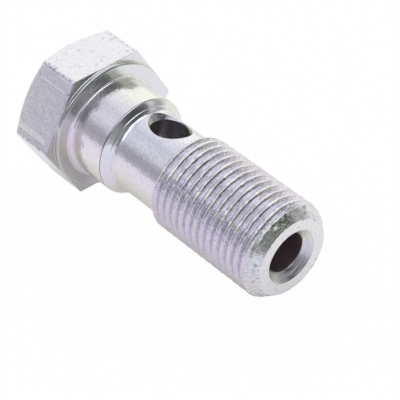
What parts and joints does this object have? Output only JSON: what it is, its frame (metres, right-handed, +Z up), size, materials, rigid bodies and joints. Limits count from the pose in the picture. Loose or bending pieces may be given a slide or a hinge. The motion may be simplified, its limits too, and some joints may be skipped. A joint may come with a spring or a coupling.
{
  "type": "banjo bolt",
  "caption": "Hollow hexagon-head bolt with a bearing collar, plain neck, cross-drilled waist and fine-threaded end, for a banjo eye.",
  "frame": {"origin": "centre of the bounding box in plan, on the ground the bolt lies on", "axes": "+X from the head towards the thread's end, with the bolt's own axis sloping down to it by 4.29 degrees; +Z up, square to the bolt's length and away from the flat it lies on; +Y to the left of +X"},
  "size_m": [0.0518, 0.0252, 0.0226],
  "materials": {
    "zinc_plated_steel": "bright zinc plate with a faint violet and yellow sheen"
  },
  "bodies": {
    "root": {"banjo_bolt": "zinc_plated_steel"}
  },
  "joints": []
}
